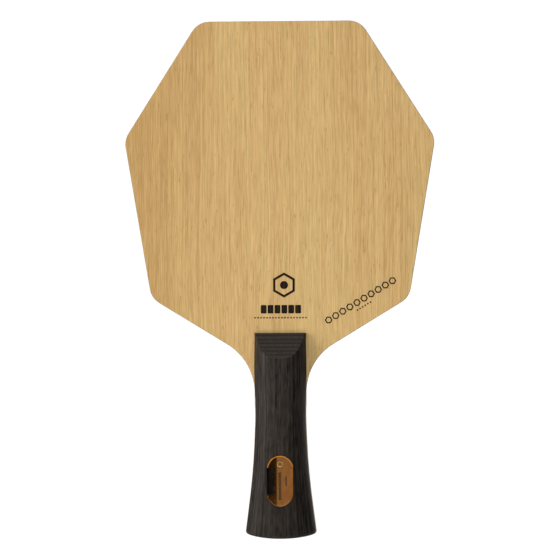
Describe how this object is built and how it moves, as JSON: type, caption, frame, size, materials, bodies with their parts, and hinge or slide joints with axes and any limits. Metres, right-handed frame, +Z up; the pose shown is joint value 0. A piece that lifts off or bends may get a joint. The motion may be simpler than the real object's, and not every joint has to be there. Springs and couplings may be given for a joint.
{
  "type": "table tennis paddle",
  "caption": "Bare table tennis blade with a hexagonal wooden head, a flared dark laminated handle and an amber domed badge in the grip; it strikes the ball once rubber sheets are glued on.",
  "frame": {"origin": "centre of the handle's butt end, on the long axis", "axes": "+Z up the handle to the head's tip, +X to the right across the head, -Y out of the front face, the side with the badge"},
  "size_m": [0.1526, 0.024, 0.2548],
  "materials": {
    "face_wood": "pale straight-grained face veneer, matt sealed",
    "cross_wood": "cross-grained inner veneer, sanded edge",
    "core_wood": "light core wood, sanded edge",
    "dyed_veneer": "charcoal dyed veneer, satin oiled",
    "badge_metal": "amber anodised, polished",
    "badge_resin": "clear domed resin, glossy",
    "printed_ink": "thin matt dark brown print, used only by marks on the front face veneer"
  },
  "bodies": {
    "root": {"core_ply": "core_wood", "front_cross_ply": "cross_wood", "rear_cross_ply": "cross_wood", "front_face_ply": "face_wood", "rear_face_ply": "face_wood", "front_grip_lamina_1": "dyed_veneer", "front_grip_lamina_2": "dyed_veneer", "front_grip_lamina_3": "dyed_veneer", "front_grip_lamina_4": "dyed_veneer", "front_grip_lamina_5": "dyed_veneer", "front_grip_lamina_6": "dyed_veneer", "front_grip_lamina_7": "dyed_veneer", "front_grip_lamina_8": "dyed_veneer", "rear_grip_lamina_1": "dyed_veneer", "rear_grip_lamina_2": "dyed_veneer", "rear_grip_lamina_3": "dyed_veneer", "rear_grip_lamina_4": "dyed_veneer", "rear_grip_lamina_5": "dyed_veneer", "rear_grip_lamina_6": "dyed_veneer", "rear_grip_lamina_7": "dyed_veneer", "rear_grip_lamina_8": "dyed_veneer", "badge_plate": "badge_metal", "badge_lens": "badge_resin"}
  },
  "joints": []
}
